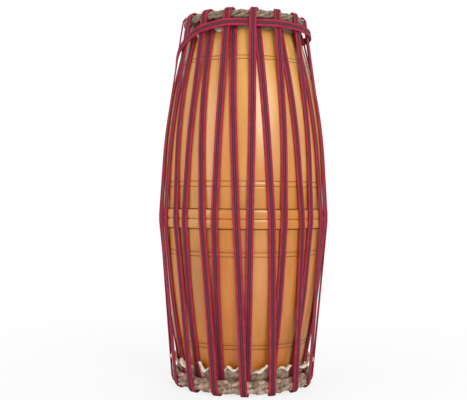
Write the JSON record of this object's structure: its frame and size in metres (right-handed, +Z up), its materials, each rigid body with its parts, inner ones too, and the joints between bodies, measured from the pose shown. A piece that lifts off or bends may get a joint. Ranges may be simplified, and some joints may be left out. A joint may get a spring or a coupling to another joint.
{
  "type": "mridangam",
  "caption": "Two-headed barrel drum standing on its wider head: turned wooden shell, layered hide heads, rope hoops and one long woven strap laced from hoop to hoop.",
  "frame": {"origin": "middle of the drum's axis on the floor under the bass end", "axes": "+Z up along the drum's axis towards the treble head, -Y the side seen in the picture"},
  "size_m": [0.2792, 0.2792, 0.6],
  "materials": {
    "lacquered_jackwood": "orange-amber lacquer over straight grain",
    "woven_tape": "crimson woven tape with a dark purple-brown middle stripe",
    "rope_hide": "grey-brown twisted hide",
    "bundle_hide": "wrinkled brown hide",
    "ragged_hide": "beige hide with pale ragged edges",
    "pale_hide": "dull pale hide",
    "thin_skin": "smooth thin skin",
    "black_paste": "hard black paste, satin",
    "dry_reed": "dry straw"
  },
  "bodies": {
    "root": {"barrel_shell": "lacquered_jackwood", "treble_inner_ring": "pale_hide", "treble_membrane": "thin_skin", "treble_outer_ring": "pale_hide", "treble_tuning_patch": "black_paste", "treble_hoop": "rope_hide", "bass_membrane": "thin_skin", "bass_outer_ring": "ragged_hide", "bass_hoop": "bundle_hide", "lacing_strap": "woven_tape", "tie_strap": "woven_tape", "treble_reed_1": "dry_reed", "treble_reed_2": "dry_reed", "treble_reed_3": "dry_reed", "treble_reed_4": "dry_reed", "treble_reed_5": "dry_reed", "treble_reed_6": "dry_reed", "treble_reed_7": "dry_reed", "treble_reed_8": "dry_reed"}
  },
  "joints": []
}
